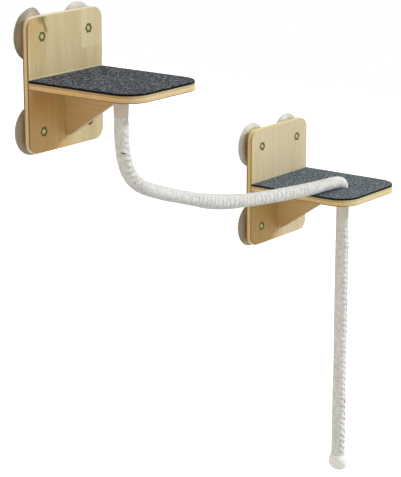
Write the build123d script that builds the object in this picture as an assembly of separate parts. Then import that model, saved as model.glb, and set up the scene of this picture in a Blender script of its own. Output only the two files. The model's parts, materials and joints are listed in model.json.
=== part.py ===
from build123d import *
import math
import os

# Cat climbing wall: two plywood perches that stand on glass with suction cups, joined by a wound cotton rope.
# Lengths are in millimetres. X runs along the glass to the right, Y into the glass, Z up.
# The glass is the plane Y = 0. The origin is the centre of the lip of the upper perch's top left cup.

# Back plate of a perch, 11 mm plywood
plate_width = 165
plate_height = 200
plate_thickness = 11
plate_corner_radius = 18
plate_edge_radius = 1.4

# Shelf, its top measured from the plate's lower edge
shelf_depth = 192
shelf_thickness = 11
shelf_top_height = 107
shelf_corner_radius = 35
shelf_edge_radius = 1

# Triangular gusset under the shelf
gusset_thickness = 11
gusset_reach = 116
gusset_nose_height = 4
gusset_foot_depth = 8
gusset_foot_height = 19
gusset_corner_radius = 2.5
gusset_edge_radius = 0.8

# Felt mat glued on the shelf
felt_thickness = 3
felt_corner_radius = 36
felt_edge_radius = 0.6

# Suction cup, insets measured from the plate's edges and heights from the glass
cup_side_inset = 31
cup_top_inset = 30
cup_bottom_inset = 31
cup_radius = 37.5
cup_rim_height = 2.6
cup_rim_round = 0.7
cup_seat_width = 6
cup_shoulder_radius = 15
cup_shoulder_height = 9.6
cup_dome_rise = 2.2
cup_boss_radius = 12.5
cup_boss_round = 1
cup_height = 13
cup_hollow_depth = 3.4

# Threaded stud moulded into each cup, M8
stud_radius = 4
stud_end_chamfer = 0.8
stud_head_radius = 8
stud_head_height = 5.4
stud_head_thickness = 2
stud_hole_clearance = 0.3
mould_grip = 0.05

# Hexagon nut in a pocket of the plate's front, M8
nut_across_flats = 13
nut_height = 6.5
nut_bore_radius = 3.4
nut_chamfer = 0.7
nut_pocket_clearance = 0.4
nut_recess = 0.4

# Countersunk wood screws
screw_radius = 2
screw_root_radius = 1.4
screw_head_radius = 4
screw_head_height = 2.2
screw_tip_length = 4
screw_hole_clearance = 0.15
screw_slot_width = 1.1
screw_slot_length = 4.4
screw_slot_depth = 1.3
plate_screw_length = 40
gusset_screw_length = 30
shelf_screw_inset = 22
gusset_screw_heights = [42, 74]
gusset_screw_reaches = [44, 84]
anchor_screw_length = 45

# Wound rope and its taped ends
rope_radius = 10.5
rope_core_radius = 8.5
rope_reach = 130
rope_hole_clearance = 2
felt_hole_clearance = 2.5
anchor_inset = 50
tape_grip = 0.05
upper_sleeve_length = 30
upper_sleeve_top_radius = 11.6
upper_sleeve_end_radius = 10.4
lower_sleeve_length = 56
lower_sleeve_top_radius = 10.6
lower_sleeve_end_radius = 10.5

# Hanging stretch: it bends under the sleeve and again one neck below, and ends in a wound ball
drop_length = 477
ball_radius = 16
neck_length = 42
bend_gap = 6
bend_clearance = 0.3

# Place of the lower perch from the upper one
perch_spacing = 550
perch_drop = 257

# One overrun for all cuts
overrun = 1

# Free route of the rope in the upright plane that holds it: X and Z of its points.
# The first ones are measured from the middle of the upper sleeve's mouth.
route_from_sleeve = [
    (-1, -24),
    (1.5, -54),
    (10.5, -83.5),
    (34, -108.5),
    (75, -125),
    (138, -145),
    (223, -168.5),
]

# The others are measured from the middle of the lower shelf's hole, at the height of a rope that lies on the felt
lying_clearance = 0.3
route_to_hole = [
    (-273.5, 18.7),
    (-189.5, 9.7),
    (-113.5, 3.2),
    (-54.5, 0),
    (-13.5, 4.2),
    (0.5, -8.3),
]

# Share of the shorter run that an arc of the rope takes at each side of a point
arc_share = 0.45

# Places worked out from the sizes above, in the frame of one perch
plate_left_x = -cup_side_inset
plate_mid_x = plate_left_x + plate_width / 2
plate_foot_z = cup_top_inset - plate_height
plate_mid_z = plate_foot_z + plate_height / 2
plate_back_y = -cup_height
plate_front_y = plate_back_y - plate_thickness
shelf_top_z = plate_foot_z + shelf_top_height
shelf_under_z = shelf_top_z - shelf_thickness
shelf_mid_z = shelf_top_z - shelf_thickness / 2
shelf_mid_y = plate_front_y - shelf_depth / 2
felt_top_z = shelf_top_z + felt_thickness
rope_y = plate_front_y - rope_reach
anchor_x = plate_left_x + anchor_inset
nut_face_y = plate_front_y + nut_recess

cup_right_x = plate_width - 2 * cup_side_inset
cup_low_z = cup_top_inset + cup_bottom_inset - plate_height

cup_places = {
    "top_left": (0, 0),
    "top_right": (cup_right_x, 0),
    "bottom_left": (0, cup_low_z),
    "bottom_right": (cup_right_x, cup_low_z),
}

perches = {
    "upper": Pos(0, 0, 0),
    "lower": Pos(perch_spacing, 0, -perch_drop),
}

# Places of the hanging stretch, on the plumb line through the lower shelf's hole
hole_x = perch_spacing + plate_mid_x
lower_under_z = shelf_under_z - perch_drop
lying_rope_z = felt_top_z - perch_drop + lying_clearance + rope_radius
lower_mouth_z = lower_under_z - lower_sleeve_length
side_bend_z = lower_mouth_z - bend_gap
front_bend_z = side_bend_z - neck_length
ball_z = lower_under_z - drop_length
ball_neck_z = ball_z + math.sqrt(ball_radius**2 - rope_radius**2)


def driven_forward(x, z):
    """Place of a screw driven from the plate's back towards the shelf."""
    return Location((x, plate_back_y, z), (-90, 0, 0))


def wood_screw(length):
    """Countersunk screw with a cross slot, its head's top at the origin and its tip at -length."""
    profile = Polyline(
        (0, 0),
        (screw_head_radius, 0),
        (screw_radius, -screw_head_height),
        (screw_radius, screw_tip_length - length),
        (0, -length),
        close=True,
    )
    screw = revolve(Plane.XZ * make_face(profile), Axis.Z)
    slot = Pos(0, 0, -screw_slot_depth / 2) * Box(screw_slot_length, screw_slot_width, screw_slot_depth)
    return screw - slot - Rot(0, 0, 90) * slot


def screw_hole(board_thickness, length):
    """Cutter for one screw: countersink and clearance hole through the first board, then a pilot hole."""
    head_radius = screw_head_radius + screw_hole_clearance
    hole_radius = screw_radius + screw_hole_clearance
    profile = Polyline(
        (0, overrun),
        (head_radius, overrun),
        (head_radius, 0),
        (hole_radius, -screw_head_height),
        (hole_radius, -board_thickness),
        (screw_root_radius, -board_thickness),
        (screw_root_radius, -length),
        (0, -length),
        close=True,
    )
    return revolve(Plane.XZ * make_face(profile), Axis.Z)


def plate_screw_places():
    """Three screws into the shelf's rear edge and two into the gusset."""
    shelf_row = [plate_left_x + shelf_screw_inset, plate_mid_x, plate_left_x + plate_width - shelf_screw_inset]
    places = [driven_forward(x, shelf_mid_z) for x in shelf_row]
    places += [driven_forward(plate_mid_x, plate_foot_z + height) for height in gusset_screw_heights]
    return places


def gusset_screw_places():
    """Two screws from the shelf's top, under the felt, into the gusset."""
    return [Location((plate_mid_x, plate_front_y - reach, shelf_top_z)) for reach in gusset_screw_reaches]


def anchor_screw_place():
    """The screw that holds the rope's upper end to the shelf, under the felt."""
    return Location((anchor_x, rope_y, shelf_top_z))


def group(shapes):
    """Equal fasteners as one group of separate solids."""
    return Compound(children=[shape.solid() for shape in shapes])


def shelf_outline(corner_radius):
    """The shelf from above: square where it meets the plate, round at the front corners."""
    outline = Pos(plate_mid_x, shelf_mid_y) * Rectangle(plate_width, shelf_depth)
    front_corners = outline.vertices().group_by(Axis.Y)[0]
    return fillet(front_corners, corner_radius)


def rope_hole(clearance):
    """Cutter for the hole that the rope goes down through."""
    height = shelf_thickness + felt_thickness + 2 * overrun
    centre = Location((plate_mid_x, rope_y, felt_top_z + overrun - height / 2))
    return centre * Cylinder(rope_radius + clearance, height)


def back_plate():
    """Plywood plate with rounded corners, stud holes, hexagonal nut pockets and screw holes."""
    outline = Pos(plate_mid_x, plate_mid_z) * RectangleRounded(plate_width, plate_height, plate_corner_radius)
    plate = extrude(Plane.XZ.offset(cup_height) * outline, plate_thickness)
    faces = plate.faces().sort_by(Axis.Y)
    plate = fillet(faces[0].edges() + faces[-1].edges(), plate_edge_radius)
    pocket_depth = nut_height + nut_recess
    for x, z in cup_places.values():
        stud_hole = Pos(x, z) * Circle(stud_radius + stud_hole_clearance)
        plate -= extrude(Plane.XZ.offset(cup_height - overrun) * stud_hole, plate_thickness + 2 * overrun)
        pocket = Pos(x, z) * nut_hexagon(nut_across_flats / 2 + nut_pocket_clearance)
        pocket_floor = cup_height + plate_thickness - pocket_depth
        plate -= extrude(Plane.XZ.offset(pocket_floor) * pocket, pocket_depth + overrun)
    for place in plate_screw_places():
        plate -= place * screw_hole(plate_thickness, plate_screw_length)
    return plate


def shelf(has_rope_hole):
    """Plywood shelf, butted against the plate's front."""
    board = extrude(Pos(0, 0, shelf_under_z) * shelf_outline(shelf_corner_radius), shelf_thickness)
    rims = [face.edges().sort_by(Axis.Y)[:-1] for face in (board.faces() | Axis.Z)]
    board = fillet(rims[0] + rims[-1], shelf_edge_radius)
    for place in plate_screw_places():
        board -= place * screw_hole(plate_thickness, plate_screw_length)
    for place in gusset_screw_places():
        board -= place * screw_hole(shelf_thickness, gusset_screw_length)
    if has_rope_hole:
        return board - rope_hole(rope_hole_clearance)
    return board - anchor_screw_place() * screw_hole(shelf_thickness, anchor_screw_length)


def gusset():
    """Triangular brace with a short nose under the shelf and a short foot on the plate."""
    foot_z = plate_foot_z + gusset_foot_height
    nose_y = plate_front_y - gusset_reach
    foot_y = plate_front_y - gusset_foot_depth
    outline = make_face(
        Polyline(
            (plate_front_y, shelf_under_z),
            (nose_y, shelf_under_z),
            (nose_y, shelf_under_z - gusset_nose_height),
            (foot_y, foot_z),
            (plate_front_y, foot_z),
            close=True,
        )
    )
    slope_ends = outline.edges().sort_by(SortBy.LENGTH)[-1].vertices()
    outline = fillet(slope_ends, gusset_corner_radius)
    brace = extrude(Plane.YZ.offset(plate_mid_x - gusset_thickness / 2) * outline, gusset_thickness)
    slope_edges = [edge for edge in brace.edges().filter_by(GeomType.LINE) if is_sloped(edge)]
    brace = fillet(slope_edges, gusset_edge_radius)
    for place in plate_screw_places():
        brace -= place * screw_hole(plate_thickness, plate_screw_length)
    for place in gusset_screw_places():
        brace -= place * screw_hole(shelf_thickness, gusset_screw_length)
    return brace


def is_sloped(edge):
    """True for an edge along the gusset's slope."""
    direction = edge.tangent_at(0)
    level_share = 0.1
    return abs(direction.Y) > level_share and abs(direction.Z) > level_share


def felt_mat(has_rope_hole):
    """Felt cut to the shelf's outline."""
    mat = extrude(Pos(0, 0, shelf_top_z) * shelf_outline(felt_corner_radius), felt_thickness)
    top_rim = mat.faces().sort_by(Axis.Z)[-1].edges().sort_by(Axis.Y)[:-1]
    mat = fillet(top_rim, felt_edge_radius)
    if has_rope_hole:
        mat -= rope_hole(felt_hole_clearance)
    return mat


def suction_cup():
    """Soft cup about its own axis: flat lip on the glass, shallow hollow, convex wall and a boss for the stud."""
    rim = (cup_radius, -cup_rim_height)
    shoulder = (cup_shoulder_radius, -cup_shoulder_height)
    seat = (cup_radius - cup_seat_width, 0)
    boss_foot = (cup_boss_radius, -cup_shoulder_height)
    outline = [
        Line(seat, (cup_radius, 0)),
        Line((cup_radius, 0), rim),
        SagittaArc(rim, shoulder, cup_dome_rise),
        Line(shoulder, boss_foot),
        Line(boss_foot, (cup_boss_radius, -cup_height)),
        Line((cup_boss_radius, -cup_height), (0, -cup_height)),
        Line((0, -cup_height), (0, -cup_hollow_depth)),
        RadiusArc((0, -cup_hollow_depth), seat, -hollow_radius()),
    ]
    cup = revolve(make_face(outline), Axis.Y)
    rings = cup.edges().filter_by(GeomType.CIRCLE)
    rim_edges = [ring for ring in rings if ring.radius > cup_radius - cup_rim_round and ring.center().Y < 0]
    cup = fillet(rim_edges, cup_rim_round)
    boss_edge = cup.edges().filter_by(GeomType.CIRCLE).sort_by(Axis.Y)[0]
    cup = fillet(boss_edge, cup_boss_round)
    return cup - cup_stud(mould_grip)


def hollow_radius():
    """Radius of the sphere that hollows the cup, from its depth and its width on the glass."""
    half_width = cup_radius - cup_seat_width
    return (half_width**2 + cup_hollow_depth**2) / (2 * cup_hollow_depth)


def cup_stud(grip):
    """Stud about the cup's axis with its flat head in the cup, made thinner all round by grip."""
    head_y = -stud_head_height
    shoulder_y = head_y - stud_head_thickness
    end_y = plate_front_y
    profile = Polyline(
        (0, head_y - grip),
        (stud_head_radius - grip, head_y - grip),
        (stud_head_radius - grip, shoulder_y + grip),
        (stud_radius - grip, shoulder_y + grip),
        (stud_radius - grip, end_y + stud_end_chamfer),
        (stud_radius - grip - stud_end_chamfer, end_y),
        (0, end_y),
        close=True,
    )
    return revolve(make_face(profile), Axis.Y)


def nut_hexagon(flat_radius):
    """Hexagon with a flat on top, by the distance from its centre to a flat."""
    return RegularPolygon(flat_radius, 6, major_radius=False)


def hex_nut():
    """Nut about the cup's axis, its face just under the plate's front."""
    floor = -nut_face_y - nut_height
    nut = extrude(Plane.XZ.offset(floor) * nut_hexagon(nut_across_flats / 2), nut_height)
    corner_radius = nut_across_flats / math.sqrt(3)
    turned = extrude(Plane.XZ.offset(floor) * Circle(corner_radius), nut_height)
    turned = chamfer(turned.edges().filter_by(GeomType.CIRCLE), nut_chamfer)
    bore = extrude(Plane.XZ.offset(floor - overrun) * Circle(nut_bore_radius), nut_height + 2 * overrun)
    return (nut & turned) - bore


def perch_nodes(side):
    """All pieces of one perch, in the perch's own frame."""
    has_rope_hole = side == "lower"
    spots = [Pos(x, 0, z) for x, z in cup_places.values()]
    nodes = {
        "back_plate": back_plate(),
        "shelf": shelf(has_rope_hole),
        "gusset": gusset(),
        "felt_mat": felt_mat(has_rope_hole),
        "cup_studs": group([spot * cup_stud(0) for spot in spots]),
        "hex_nuts": group([spot * hex_nut() for spot in spots]),
        "plate_screws": group([place * wood_screw(plate_screw_length) for place in plate_screw_places()]),
        "gusset_screws": group([place * wood_screw(gusset_screw_length) for place in gusset_screw_places()]),
    }
    for corner, (x, z) in cup_places.items():
        nodes[f"cup_{corner}"] = Pos(x, 0, z) * suction_cup()
    return nodes


def taped_sleeve(place, length, top_radius, end_radius):
    """Tapered tape sleeve that hangs down from place, round the rope's bare core."""
    outline = Polyline(
        (rope_core_radius - tape_grip, 0),
        (top_radius, 0),
        (end_radius, -length),
        (rope_core_radius - tape_grip, -length),
        close=True,
    )
    return place * revolve(Plane.XZ * make_face(outline), Axis.Z)


def upright(x, z_low, z_high, radius):
    """Straight upright stretch of the rope between two heights."""
    height = z_high - z_low
    return Pos(x, rope_y, z_low + height / 2) * Cylinder(radius, height)


def bend_ball(z, clearance):
    """Ball about a bend of the hanging stretch."""
    return Pos(hole_x, rope_y, z) * Sphere(rope_radius + clearance)


def arc_radii(points):
    """The largest smooth arc at each inner point of the route."""
    radii = []
    for before, here, after in zip(points, points[1:], points[2:]):
        run_in = Vector(*here) - Vector(*before)
        run_out = Vector(*after) - Vector(*here)
        half_turn = math.radians(run_in.get_angle(run_out)) / 2
        radii.append(arc_share * min(run_in.length, run_out.length) / math.tan(half_turn))
    return radii


def span_points(mouth_z):
    """The rope's route from the upper sleeve's mouth to the lower shelf's underside."""
    places = [(anchor_x, mouth_z)]
    places += [(anchor_x + x, mouth_z + z) for x, z in route_from_sleeve]
    places += [(hole_x + x, lying_rope_z + z) for x, z in route_to_hole]
    places += [(hole_x, lower_under_z)]
    return [(x, rope_y, z) for x, z in places]


def rope_span():
    """The rope from the upper shelf to the lower shelf's underside, with its bare core in both sleeves."""
    mouth_z = shelf_under_z - upper_sleeve_length
    points = span_points(mouth_z)
    radii = arc_radii(points)
    print("rope arc radii in mm:", [round(radius) for radius in radii])
    path = FilletPolyline(*points, radius=radii)
    start = Plane(origin=path @ 0, z_dir=path % 0)
    tube = sweep(start * Circle(rope_radius), path=path)
    section_volume = math.pi * rope_radius**2 * path.length
    print("rope length in mm:", round(path.length, 1), "volume share:", round(tube.volume / section_volume, 4))
    upper_core = upright(anchor_x, mouth_z, shelf_under_z, rope_core_radius)
    upper_core -= anchor_screw_place() * screw_hole(shelf_thickness, anchor_screw_length)
    lower_core = upright(hole_x, lower_mouth_z, lower_under_z, rope_core_radius)
    lower_core -= bend_ball(side_bend_z, bend_clearance)
    return tube + upper_core + lower_core


def lower_sleeve():
    """The sleeve under the lower shelf, hollowed at its mouth where the rope bends."""
    place = Pos(hole_x, rope_y, lower_under_z)
    sleeve = taped_sleeve(place, lower_sleeve_length, lower_sleeve_top_radius, lower_sleeve_end_radius)
    return sleeve - bend_ball(side_bend_z, bend_clearance)


def rope_neck():
    """Short stretch that swings to the sides at its top and carries the bend to the front at its foot."""
    neck = upright(hole_x, front_bend_z + bend_gap, side_bend_z, rope_radius) + bend_ball(side_bend_z, 0)
    return neck - bend_ball(front_bend_z, bend_clearance)


def rope_drop():
    """Long straight stretch that hangs under the neck."""
    return upright(hole_x, ball_neck_z, front_bend_z, rope_radius) + bend_ball(front_bend_z, 0)


def rope_end_ball():
    """Cord-wound ball at the rope's end, flat where the rope meets it."""
    ball = Pos(hole_x, rope_y, ball_z) * Sphere(ball_radius)
    cap = Pos(hole_x, rope_y, ball_neck_z + ball_radius / 2) * Cylinder(ball_radius, ball_radius)
    return ball - cap


def rope_nodes():
    """The rope, its sleeves, its ball and the screw that holds its upper end."""
    anchor = Pos(anchor_x, rope_y, shelf_under_z)
    upper_sleeve = taped_sleeve(anchor, upper_sleeve_length, upper_sleeve_top_radius, upper_sleeve_end_radius)
    return {
        "rope_anchor_screw": anchor_screw_place() * wood_screw(anchor_screw_length),
        "upper_rope_sleeve": upper_sleeve,
        "rope_span": rope_span(),
        "lower_rope_sleeve": lower_sleeve(),
        "rope_neck": rope_neck(),
        "rope_drop": rope_drop(),
        "rope_end_ball": rope_end_ball(),
    }


os.makedirs("parts", exist_ok=True)
for side, place in perches.items():
    for name, shape in perch_nodes(side).items():
        export_step(place * shape, f"parts/{side}_{name}.step")
for name, shape in rope_nodes().items():
    export_step(shape, f"parts/{name}.step")
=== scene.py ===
import json
import math
import random

import bpy
import numpy as np
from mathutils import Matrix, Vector, noise
from mathutils.geometry import delaunay_2d_cdt


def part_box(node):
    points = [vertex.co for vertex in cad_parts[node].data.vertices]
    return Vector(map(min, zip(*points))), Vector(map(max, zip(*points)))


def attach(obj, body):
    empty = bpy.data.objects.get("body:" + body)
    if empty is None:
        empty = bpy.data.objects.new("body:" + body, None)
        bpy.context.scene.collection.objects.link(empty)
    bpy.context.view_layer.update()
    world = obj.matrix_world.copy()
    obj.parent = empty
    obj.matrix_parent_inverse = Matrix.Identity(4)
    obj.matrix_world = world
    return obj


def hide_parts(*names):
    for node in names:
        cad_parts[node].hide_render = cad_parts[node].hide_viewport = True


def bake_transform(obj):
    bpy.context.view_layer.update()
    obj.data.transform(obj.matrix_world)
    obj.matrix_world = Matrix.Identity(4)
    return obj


# Looks of the cat climbing wall: two plywood perches on suction cups, joined by a wound cotton rope.
# Lengths are in metres, in the frame of the model: X along the glass, Y into it, Z up.

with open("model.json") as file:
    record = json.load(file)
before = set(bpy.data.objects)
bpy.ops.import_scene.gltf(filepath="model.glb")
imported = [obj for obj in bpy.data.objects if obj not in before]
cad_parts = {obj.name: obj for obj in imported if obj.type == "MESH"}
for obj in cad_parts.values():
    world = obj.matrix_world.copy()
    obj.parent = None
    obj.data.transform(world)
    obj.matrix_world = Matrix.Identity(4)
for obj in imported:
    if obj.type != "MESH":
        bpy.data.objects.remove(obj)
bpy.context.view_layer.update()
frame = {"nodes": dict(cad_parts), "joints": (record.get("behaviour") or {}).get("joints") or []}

SIDES = ("upper", "lower")
CORNERS = ("top_left", "top_right", "bottom_left", "bottom_right")
BODY = "perches"
DROP_BODY = "rope_drop_body"

full_turn = 2 * math.pi
quarter_turn = math.pi / 2

# The photograph's camera, its image 401 by 477 pixels
image_width_px = 401
focal_length_px = 1925.55
sensor_width_mm = 36
camera_azimuth = math.radians(-52.842)
camera_elevation = math.radians(15.089)
camera_distance = 3.15516
camera_target = Vector((0.37675, -0.024, -0.38115))

# Floor and light
floor_half_width = 6
floor_z = -1.35
floor_grey = (0.6, 0.6, 0.6, 1)
floor_lift = 0.7
sun_strength = 1.75
sun_angle = math.radians(3)
sun_side = Vector((1, -1.1, 0.9))
plain_white = (1, 1, 1, 1)
fill_from_left = (0.8, 0.72, 0.6, 1)
fill_from_right = (0.76, 0.77, 0.76, 1)

# Rope
rope_radius = 0.0105
span_seed, neck_seed, drop_seed = 11, 21, 22
ball_radius = 0.016
ring_spacing = 0.0006
round_steps = 72
spline_resolution = 32
direction_reach = 0.001

# The rope's free route, in X and Z: first from the middle of the upper sleeve's mouth,
# then from the middle of the lower shelf's hole, at the height of a rope that lies on the felt
route_from_sleeve = (
    (-0.0005, -0.0245), (0.0025, -0.053), (0.012, -0.0835), (0.0355, -0.107),
    (0.075, -0.1238), (0.138, -0.1445), (0.2225, -0.17),
)
lying_clearance = 0.0003
route_to_hole = (
    (-0.2735, 0.0187), (-0.1895, 0.0102), (-0.1135, 0.0042),
    (-0.0545, 0.0012), (-0.014, -0.0008), (0.0005, -0.0083),
)

# What changes along the rope: a value at its start, then each change, as the lengths over which it comes
# about and its amount. Swells add to the radius, and shares apply to the gathers' height and pits.
span_swells = (-0.0006, (0, 0.012, 0.0006), (0.26, 0.3, 0.0012), (0.36, 0.4, -0.0012))
span_pitches = (0.0094, (0.29, 0.34, 0.0013), (0.57, 0.62, -0.0019))
span_height_shares = (0.3, (0.012, 0.04, 0.7), (0.09, 0.13, -0.6), (0.2, 0.29, 0.6), (0.52, 0.62, -0.78))
bend_to_span_shares = (0, (0.1, 0.15, 1))
narrow_length = 0.055
hole_radius_share = 0.9
hanging_swells = (-0.0002, (0, 0.02, 0.0005), (0.27, 0.3, 0.0005))
hanging_pitches = (0.0092, (0.24, 0.32, 0.0012))
hanging_height_shares = (0.25, (0, 0.02, 0.75))
hanging_pit_shares = (0, (0, 0.02, 1), (0.27, 0.33, 0.7))
hanging_added_slants = (0, (0.27, 0.33, 2.5))
slip_share = 0.12

# Gathers of the cotton: the middle of the gathered side round the rope, half its width, how many
# gathers the slant crosses in a full turn, their height, the extra depth of the pits between them
# and the size of the wrinkles
SLANT, HEIGHT, PIT = 2, 3, 4
span_gathers = (math.radians(-91), math.radians(58), 0.4, 0.0008, 0.0, 0.0005)
bend_gathers = (math.radians(-88), math.radians(70), 4.0, 0.00085, 0.0003, 0.0013)
hanging_gathers = (math.radians(-92), math.radians(54), 2.2, 0.0018, 0.0009, 0.0005)

# Spread of the gathers, the fall between them and the roughness of the cotton. Scales are round the
# rope and then along it, in X, Y and Z of the noise.
spare_gathers = 20
gather_height_shares = (0.45, 1.2)
gather_lean_share = 0.2
gather_jitter = 0.28
first_gather = 7.5
loose_side_share = 0.45
span_fall_power = 1.2
span_floor_share = 0
hanging_fall_power = 1.7
hanging_floor_share = 0.5
pit_power = 3
smooth_ridge = 0.00012
smooth_side_wrinkle_share = 0.4
crease_size = 0.00012
crease_seed = 9
wave_size = 0.0004
wave_scale = 28
wave_lane = 0.5
jitter_scales = (0.9, 90, 60, 0)
wrinkle_scales = (2.6, 330, 0, 120)
crease_scales = (5, 700, 0, 500)
least_hollow = 0.3
full_hollow_height = 0.0007

# Pits between the hanging stretch's gathers
pit_angle = math.radians(-82)
left_pit_angle = math.radians(-124)
pit_half_angle = math.radians(14)
left_pit_share = 0.6
least_pit_share = 0.15

# A short slit between two gathers of the upper hanging part
slit_length = 0.051
slit_angle = math.radians(-138)
slit_slant = 0.004
slit_half_length = 0.0013
slit_half_angle = math.radians(25)
slit_depth = 0.002
slit_edge_power = 4

# Ball, a little fuller than the solid, with the turns of its winding
wound_ball_radius = 0.0181
ball_shift = Vector((0.0019, -0.0014, -0.0002))
ball_axis = Vector((0.42, -0.32, 0.85))
ball_turns = 7
ball_groove = 0.0006
ball_groove_power = 1.6
ball_pole_power = 0.5
ball_wrinkle = 0.0008
ball_wrinkle_scale = 2.2
ball_slip = 0.45
ball_slip_scale = 1.6
ball_rings = 64

# Tape sleeves: the upper one's end, folds, the lower one's lap and the mouth turned in to the rope
upper_sleeve_end_radius = 0.0104
sleeve_rings = 30
sleeve_steps = 56
tape_fold = 0.00035
tape_fold_scales = (2.2, 70)
tape_lap = 0.0006
tape_lap_drop = 0.0075
tape_lap_slant = 0.0045
tape_lap_turn = 0.7
tape_lap_edge = 0.0012
lower_tape_crease = 0.004
upper_tape_seed, lower_tape_seed = 1, 5
sleeve_mouth = ((0.0004, 0.93), (0.0012, 0.8))

# Felt mats
felt_corner_radius = 0.036
felt_edge_round = 0.0009
felt_edge_shares = (0, 0.3, 1)
felt_spacing = 0.0025
felt_margin_share = 0.6
felt_shift_share = 0.3
felt_hole_radius = 0.0116
felt_hole_steps = 40
felt_fuzz = 0.00012
felt_fuzz_scale = 320
felt_seeds = {"upper": 3, "lower": 7}
triangle_slack = 1e-7

# Suction cups, heights measured from the glass
cup_radius = 0.0375
cup_rim_height = 0.0026
cup_rim_round = 0.0007
cup_seat_width = 0.006
cup_shoulder_radius = 0.015
cup_shoulder_height = 0.0096
cup_dome_rise = 0.0022
cup_boss_radius = 0.0125
cup_boss_round = 0.001
cup_height = 0.013
cup_hollow_depth = 0.0034
cup_edge = 0.0004
cup_round_share = 0.3
cup_arc_steps = 8
cup_steps = 72

# Reach of the unevenly pressed cup's rim, as an angle in degrees and a share of its radius
uneven_rim_shares = (
    (-180, 0.93), (-130, 0.98), (-90, 1), (0, 1), (40, 0.97), (57, 0.95), (68, 1.03), (79, 1.075),
    (92, 1.04), (110, 0.99), (132, 0.98), (155, 0.94), (180, 0.93),
)
pressed_from_share = 0.4


def box(node):
    """Lowest and highest corner of one of the model's pieces."""
    return [Vector(corner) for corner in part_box(node)]


# Places worked out from the model's pieces
upper_sleeve_low, upper_sleeve_high = box("upper_rope_sleeve")
lower_sleeve_low, lower_sleeve_high = box("lower_rope_sleeve")
anchor = (upper_sleeve_low + upper_sleeve_high) / 2
hole = (lower_sleeve_low + lower_sleeve_high) / 2
lying_rope_z = box("lower_felt_mat")[1].z + lying_clearance + rope_radius
joint_places = {joint["name"]: Vector(joint["pos_m"]) for joint in frame["joints"]}
front_bend_z = joint_places["rope_swing_front"].z
mid_neck_z = (joint_places["rope_swing_side"].z + front_bend_z) / 2
drop_end_z = box("rope_drop")[0].z
ball_centre = Vector((hole.x, hole.y, box("rope_end_ball")[0].z + ball_radius))


def add_object(name, data):
    made = bpy.data.objects.new(name, data)
    bpy.context.scene.collection.objects.link(made)
    return made


def add_camera():
    """The camera at the photograph's viewing angle."""
    data = bpy.data.cameras.new("camera")
    data.sensor_fit = "HORIZONTAL"
    data.sensor_width = sensor_width_mm
    data.lens = focal_length_px / image_width_px * sensor_width_mm
    camera = add_object("camera", data)
    level = math.cos(camera_elevation)
    side, front = math.sin(camera_azimuth) * level, -math.cos(camera_azimuth) * level
    away = Vector((side, front, math.sin(camera_elevation)))
    camera.location = camera_target + away * camera_distance
    camera.rotation_euler = away.to_track_quat("Z", "Y").to_euler()
    bpy.context.scene.camera = camera


# Meshes

def mesh_object(name, points, faces, smooth=True):
    """A mesh piece from points and faces."""
    mesh = bpy.data.meshes.new(name)
    mesh.from_pydata([tuple(point) for point in points], [], [tuple(face) for face in faces])
    mesh.update()
    if smooth:
        mesh.polygons.foreach_set("use_smooth", [True] * len(mesh.polygons))
    return add_object(name, mesh)


def stands_for(piece, node, body=None):
    """A new piece replaces one of the model's, and moves with its body when one is given."""
    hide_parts(node)
    if body:
        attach(piece, body)
    return piece


def ways_round(side, other, steps):
    """Angles round an axis, each with its direction."""
    angles = [full_turn * step / steps for step in range(steps)]
    return [(angle, Vector(side) * math.cos(angle) + Vector(other) * math.sin(angle)) for angle in angles]


def tube_faces(rings, steps):
    """Faces of a tube of rings of points, closed at both ends."""
    faces = []
    for ring in range(rings - 1):
        low = ring * steps
        high = low + steps
        for step in range(steps):
            after = (step + 1) % steps
            faces.append((low + step, low + after, high + after, high + step))
    last = (rings - 1) * steps
    return faces + [tuple(reversed(range(steps))), tuple(range(last, last + steps))]


def spline_points(name, control_points):
    """Points along a smooth line through or near control points."""
    curve = bpy.data.curves.new(name, "CURVE")
    curve.dimensions = "3D"
    curve.resolution_u = spline_resolution
    spline = curve.splines.new("NURBS")
    spline.points.add(len(control_points) - 1)
    for point, place in zip(spline.points, control_points):
        point.co = (*place, 1)
    spline.order_u = 3
    spline.use_endpoint_u = True
    holder = add_object(name, curve)
    bpy.context.view_layer.update()
    mesh = bpy.data.meshes.new_from_object(holder)
    points = np.array([tuple(vertex.co) for vertex in mesh.vertices])
    bpy.data.objects.remove(holder)
    bpy.data.curves.remove(curve)
    bpy.data.meshes.remove(mesh)
    return points


class Line:
    """A path read by the length along it."""

    def __init__(self, points):
        self.points = points
        steps = np.linalg.norm(np.diff(points, axis=0), axis=1)
        self.lengths = np.concatenate([[0], np.cumsum(steps)])
        self.length = self.lengths[-1]

    def at(self, length):
        """Place, and the direction across the line."""
        ahead = self.place(min(length + direction_reach, self.length))
        behind = self.place(max(length - direction_reach, 0))
        along = (ahead - behind) / np.linalg.norm(ahead - behind)
        return self.place(length), np.cross(along, (0, 1, 0))

    def place(self, length):
        return np.array([np.interp(length, self.lengths, self.points[:, axis]) for axis in range(3)])


def rope_span_line():
    """From the upper sleeve's mouth to the lower shelf's underside."""
    mouth_z = upper_sleeve_low.z
    places = [(anchor.x, mouth_z)]
    places += [(anchor.x + x, mouth_z + z) for x, z in route_from_sleeve]
    places += [(hole.x + x, lying_rope_z + z) for x, z in route_to_hole]
    places += [(hole.x, lower_sleeve_high.z)]
    return Line(spline_points("rope_span_line", [(x, hole.y, z) for x, z in places]))


def rope_drop_line():
    """Straight down from the lower sleeve's mouth."""
    heights = (lower_sleeve_low.z, (lower_sleeve_low.z + drop_end_z) / 2, drop_end_z)
    return Line(spline_points("rope_drop_line", [(hole.x, hole.y, z) for z in heights]))


def smooth_step(low, high, value):
    """0 up to low, 1 from high on, softly rising between."""
    share = min(1, max(0, (value - low) / (high - low)))
    return share * share * (3 - 2 * share)


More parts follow.
